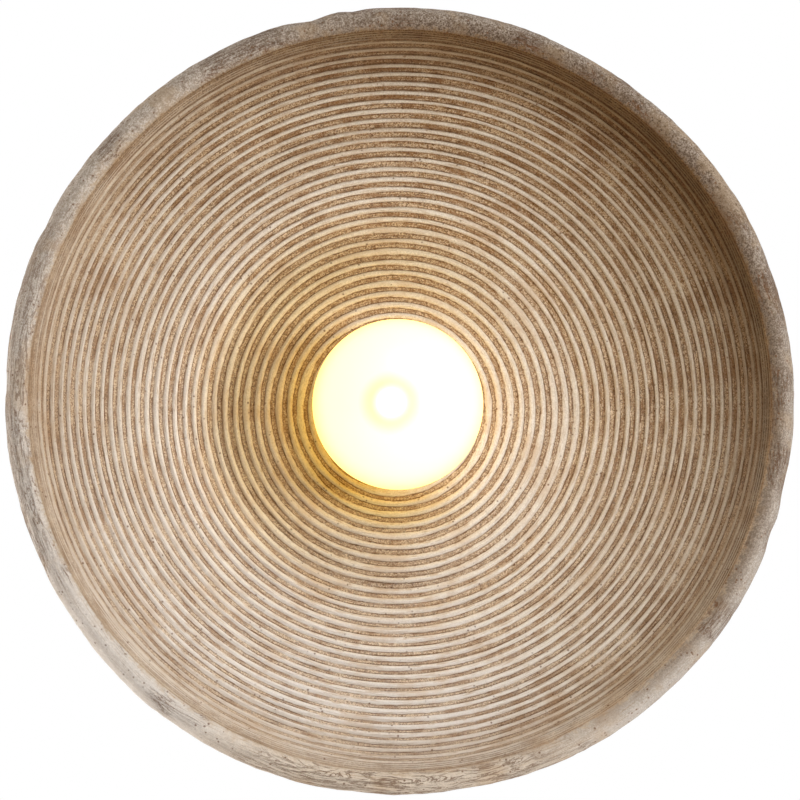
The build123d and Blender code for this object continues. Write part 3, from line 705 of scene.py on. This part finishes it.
# ---------------------------------------------------------------- the fittings' materials
def metal(name, base, worn, rough, turned=False):
    """Bare metal: a brushed or turned lay, cloudy tarnish, and fine scratches."""
    n = Nodes(name)
    where = n.position()
    if turned:
        lay_at = n.polar(where, 60.0, 8.0)
    else:
        lay_at = n.vector("MULTIPLY", where, (0.15, 1.0, 3.0)).outputs[0]
    lay = n.noise(lay_at, 1.6, detail=4.0, rough=0.7)
    tarnish = n.ramp(n.noise(where, 9.0, detail=4.0, rough=0.65), 0.42, 0.66)
    spots = n.noise(where, 1.3, detail=3.0, rough=0.7)
    vein = n.noise(where, 5.0, detail=3.0, rough=0.6, distort=2.0)
    off_vein = n.math("ABSOLUTE", n.math("SUBTRACT", vein, 0.5))
    scratch = n.invert(n.ramp(off_vein, 0.003, 0.012))
    colour = n.mix(tarnish, base, worn)
    colour = n.layer(colour, spots, 0.58, 0.70, 0.45, worn)
    colour = n.mix(n.times(scratch, 0.35), colour, (0.85, 0.85, 0.85))
    roughness = n.math("MULTIPLY_ADD", lay, 0.22, rough - 0.11)
    roughness = n.math("MULTIPLY_ADD", tarnish, 0.16, roughness)
    height = n.math("MULTIPLY_ADD", scratch, -0.5, n.math("MULTIPLY_ADD", spots, 0.3, lay))
    normal = n.bump(height, 0.05, strength=0.6)
    return n.principled(Base_Color=colour, Metallic=1.0, Roughness=roughness, Normal=normal)


def moulded(name, base, aged, rough, grain_mm=0.6, grain_depth=0.05, dust=0.3):
    """Plastic, rubber, ceramic or paint: a moulded grain, uneven ageing, dust and dark specks."""
    n = Nodes(name)
    where = n.position()
    grain = n.noise(where, grain_mm, detail=3.0, rough=0.65)
    cloud = n.noise(where, 11.0, detail=3.0, rough=0.6)
    smear_at = n.vector("MULTIPLY", where, (1.0, 1.0, 0.25)).outputs[0]
    smear = n.noise(smear_at, 4.0, detail=4.0, rough=0.65)
    specks = n.invert(n.ramp(n.cells(where, 2.4), 0.06, 0.16))
    specks = n.times(specks, n.ramp(n.noise(where, 7.0), 0.50, 0.60))
    colour = n.mix(n.ramp(cloud, 0.38, 0.68), base, aged)
    colour = n.layer(colour, grain, 0.5, 0.7, 0.25, aged)
    colour = n.layer(colour, smear, 0.54, 0.72, dust, (0.52, 0.48, 0.42))
    colour = n.mix(n.times(specks, 0.5), colour, (0.10, 0.08, 0.06))
    roughness = n.math("MULTIPLY_ADD", grain, 0.14, rough - 0.07)
    roughness = n.math("MULTIPLY_ADD", n.ramp(smear, 0.54, 0.72), 0.14, roughness)
    height = n.math("MULTIPLY_ADD", specks, -0.6, grain)
    normal = n.bump(height, grain_depth, strength=0.8)
    return n.principled(Base_Color=colour, Roughness=roughness, Normal=normal)


def foam_material():
    """Closed-cell foam: open pores all over."""
    n = Nodes("foam_black")
    where = n.position()
    pores = n.ramp(n.cells(where, 0.8), 0.15, 0.55)
    colour = n.mix(pores, (0.012, 0.012, 0.013), (0.05, 0.05, 0.052))
    colour = n.layer(colour, n.noise(where, 6.0), 0.45, 0.7, 0.4, (0.11, 0.10, 0.09))
    return n.principled(
        Base_Color=colour,
        Roughness=n.math("MULTIPLY_ADD", pores, 0.1, 0.84),
        Normal=n.bump(pores, 0.25, strength=0.9),
    )


def earth_wire_material():
    """Green insulation with yellow stripes that wind along it."""
    n = Nodes("wire_green_yellow")
    where = n.position()
    split = n.add("ShaderNodeSeparateXYZ", Vector=where)
    wound = n.math("MULTIPLY_ADD", split.outputs[0], 1.3, n.times(split.outputs[1], 2.4))
    wound = n.math("MULTIPLY_ADD", split.outputs[2], 0.5, wound)
    stripe = n.ramp(n.math("SINE", wound), -0.15, 0.15)
    grain = n.noise(where, 0.5, detail=3.0)
    colour = n.mix(stripe, srgb(58, 128, 44), srgb(222, 196, 42))
    colour = n.layer(colour, grain, 0.5, 0.7, 0.3, (0.16, 0.15, 0.10))
    return n.principled(
        Base_Color=colour,
        Roughness=n.math("MULTIPLY_ADD", grain, 0.2, 0.32),
        Normal=n.bump(grain, 0.03, strength=0.6),
    )


def led_material():
    """Yellow phosphor, lit."""
    n = Nodes("led_phosphor")
    grain = n.noise(n.position(), 0.25, detail=2.0)
    return n.principled(
        Base_Color=n.mix(n.ramp(grain, 0.4, 0.6), (0.72, 0.50, 0.06), (0.85, 0.66, 0.16)),
        Roughness=0.45,
        Normal=n.bump(grain, 0.02, strength=0.5),
        Emission_Color=(1.0, 0.82, 0.42, 1.0),
        Emission_Strength=6.0,
    )


# Metals: the nodes, then the material's name, colour, worn colour, roughness, and turned or not.
METALS = (
    (("lampholder_bracket", "centre_tube", "rear_washer", "wall_bracket"),
     "zinc_plated", (0.56, 0.57, 0.58), (0.42, 0.41, 0.38), 0.38, False),
    (("lampholder_screws", "pan_screws", "terminal_screws", "block_screw"),
     "screw_plated", (0.62, 0.62, 0.62), (0.30, 0.27, 0.23), 0.30, False),
    (("front_nut", "rear_nut"), "nut_nickel", (0.66, 0.64, 0.60), (0.38, 0.34, 0.28), 0.28, False),
    (("globe_collar",), "collar_turned", (0.68, 0.68, 0.69), (0.42, 0.40, 0.36), 0.30, True),
    (("globe_holder",), "holder_spun", (0.62, 0.58, 0.52), (0.38, 0.29, 0.20), 0.36, True),
    (("lampholder_contacts",),
     "contact_spring", (0.62, 0.60, 0.56), (0.40, 0.30, 0.20), 0.30, False),
    (("bulb_pins",), "pin_polished", (0.74, 0.73, 0.70), (0.50, 0.46, 0.40), 0.20, False),
    (("earth_lug",), "copper_tinned", (0.66, 0.64, 0.60), (0.45, 0.30, 0.20), 0.32, False),
    (("earth_screw",), "brass_plain", (0.68, 0.50, 0.22), (0.34, 0.24, 0.12), 0.30, False),
)
# Moulded: the nodes, then name, colour, aged colour, roughness, grain size and depth in mm, dust.
MOULDED = (
    (("front_pad", "rear_pad"),
     "rubber_black", (0.018, 0.018, 0.019), (0.035, 0.033, 0.031), 0.72, 0.9, 0.06, 0.25),
    (("globe_seal",),
     "silicone_milky", (0.74, 0.72, 0.67), (0.62, 0.56, 0.44), 0.50, 0.5, 0.03, 0.2),
    (("lampholder",),
     "ceramic_ivory", (0.78, 0.75, 0.68), (0.66, 0.60, 0.50), 0.58, 0.35, 0.03, 0.2),
    (("bulb_base",),
     "plastic_white", (0.80, 0.79, 0.76), (0.72, 0.66, 0.54), 0.38, 0.5, 0.02, 0.12),
    (("bulb_core",),
     "board_white", (0.82, 0.82, 0.79), (0.76, 0.72, 0.62), 0.50, 0.4, 0.02, 0.1),
    (("back_pan",),
     "pan_textured_paint", (0.36, 0.31, 0.25), (0.28, 0.24, 0.19), 0.66, 0.7, 0.10, 0.35),
    (("terminal_block",),
     "block_ivory", (0.74, 0.72, 0.66), (0.66, 0.60, 0.48), 0.42, 0.5, 0.02, 0.2),
    (("live_lead",),
     "wire_brown", (0.080, 0.034, 0.016), (0.12, 0.06, 0.03), 0.38, 0.4, 0.02, 0.15),
    (("neutral_lead",),
     "wire_blue", (0.022, 0.105, 0.34), (0.05, 0.14, 0.36), 0.38, 0.4, 0.02, 0.15),
)
for make, table in ((metal, METALS), (moulded, MOULDED)):
    for nodes, *look in table:
        material = make(*look)
        for node in nodes:
            set_material(node, material)
set_material("bulb_leds", led_material())
set_material("pan_gasket", foam_material())
set_material("earth_lead", earth_wire_material())


# ---------------------------------------------------------------- stage, lights and camera
STAGE_LOW = -0.62                           # height of the floor
# The floor's sheets: name, half width, colour, and how brightly it glows for the camera.
FLOOR_SHEETS = (("floor_reflecting", 2.2, 0.86, 0.0), ("floor_seen", 8.0, 0.0, 0.85))
LIGHTS_AIM = (0.0, -0.08, 0.0)
CAMERA_AIM = (-0.0004, -0.108, -0.0002)
CAMERA_AWAY = 2.0
CAMERA_LEFT = math.radians(2.8)
CAMERA_BELOW = math.radians(4.5)
SENSOR = 36.0                               # millimetres, like the lens
FRAME_WIDTH = 2.01852 * DISH_R * MM         # what the picture shows at the aim


def make_floor():
    """A pale floor well below the light: one sheet reflects light, one is what the camera sees."""
    for name, half, colour, glow in FLOOR_SHEETS:
        mesh = bpy.data.meshes.new(name)
        places = [(x * half, y * half, STAGE_LOW) for x, y in ((-1, -1), (1, -1), (1, 1), (-1, 1))]
        mesh.from_pydata(places, [], [(0, 1, 2, 3)])
        material = Nodes(name).principled(
            Base_Color=(colour, colour, colour, 1.0),
            Roughness=0.7,
            Specular_IOR_Level=0.0 if glow else 0.5,
            Emission_Color=(1.0, 1.0, 1.0, 1.0),
            Emission_Strength=glow,
        )
        sheet = make_object(name, mesh, material)
        sheet.visible_camera = glow > 0
        sheet.visible_diffuse = glow == 0
        sheet.visible_glossy = glow == 0
        sheet.visible_shadow = glow == 0


def aim(thing, target):
    """Points a light or camera at a place."""
    thing.rotation_euler = (Vector(target) - thing.location).to_track_quat("-Z", "Y").to_euler()


def make_light(name, off_axis, round_turn, distance, size, watts, colour):
    """A soft square light, its direction in degrees off the dish's axis and round it."""
    data = bpy.data.lights.new(name, "AREA")
    data.size = size
    data.energy = watts
    data.color = colour
    light = bpy.data.objects.new(name, data)
    bpy.context.collection.objects.link(light)
    light.visible_camera = False
    off, turn = math.radians(off_axis), math.radians(round_turn)
    sideways = Vector((math.cos(turn), 0.0, math.sin(turn))) * math.sin(off)
    light.location = (sideways + Vector((0.0, -math.cos(off), 0.0))) * distance
    aim(light, LIGHTS_AIM)


def make_world():
    """White for the camera; it lights the object from behind and hardly at all from in front."""
    world = bpy.data.worlds.new("studio")
    bpy.context.scene.world = world
    world.use_nodes = True
    tree = world.node_tree
    tree.nodes.clear()
    output = tree.nodes.new("ShaderNodeOutputWorld")
    pick = tree.nodes.new("ShaderNodeMixShader")
    path = tree.nodes.new("ShaderNodeLightPath")
    shades = [tree.nodes.new("ShaderNodeBackground") for _ in range(2)]
    for index, shade in enumerate(shades):
        shade.inputs["Color"].default_value = (1.0, 1.0, 1.0, 1.0)
        tree.links.new(shade.outputs[0], pick.inputs[1 + index])
    direction = tree.nodes.new("ShaderNodeTexCoord")
    split = tree.nodes.new("ShaderNodeSeparateXYZ")
    tree.links.new(direction.outputs["Generated"], split.inputs[0])
    level = tree.nodes.new("ShaderNodeMapRange")
    for key, value in (("From Min", -0.2), ("From Max", 0.5), ("To Min", 0.0), ("To Max", 1.3)):
        level.inputs[key].default_value = value
    tree.links.new(split.outputs[1], level.inputs["Value"])
    tree.links.new(level.outputs[0], shades[0].inputs["Strength"])
    tree.links.new(path.outputs["Is Camera Ray"], pick.inputs[0])
    tree.links.new(pick.outputs[0], output.inputs["Surface"])


def make_camera():
    """A long lens a little to the left of the axis and below it, filled by the dish."""
    data = bpy.data.cameras.new("camera")
    camera = bpy.data.objects.new("camera", data)
    bpy.context.collection.objects.link(camera)
    flat = math.cos(CAMERA_LEFT) * math.cos(CAMERA_BELOW)
    away = Vector((-math.sin(CAMERA_LEFT), -flat, -math.sin(CAMERA_BELOW)))
    camera.location = Vector(CAMERA_AIM) + away.normalized() * CAMERA_AWAY
    aim(camera, CAMERA_AIM)
    data.sensor_width = SENSOR
    data.lens = SENSOR * CAMERA_AWAY / FRAME_WIDTH
    data.clip_end = 20.0
    bpy.context.scene.camera = camera


# Lights: name, degrees off the axis and round it, distance, size, watts and colour.
LIGHTS = (
    ("key_right", 42.0, 5.0, 1.8, 0.5, 17.0, (0.92, 0.96, 1.0)),
    ("key_above", 48.0, 72.0, 1.8, 1.6, 21.5, (1.0, 1.0, 0.97)),
    ("fill_front", 8.0, 250.0, 2.4, 1.2, 3.5, (1.0, 0.85, 0.68)),
    ("rim_left", 112.0, 185.0, 1.8, 1.2, 30.0, (1.0, 0.97, 0.92)),
)
make_floor()
make_world()
for row in LIGHTS:
    make_light(*row)
make_camera()
bpy.context.scene.view_settings.view_transform = "Standard"
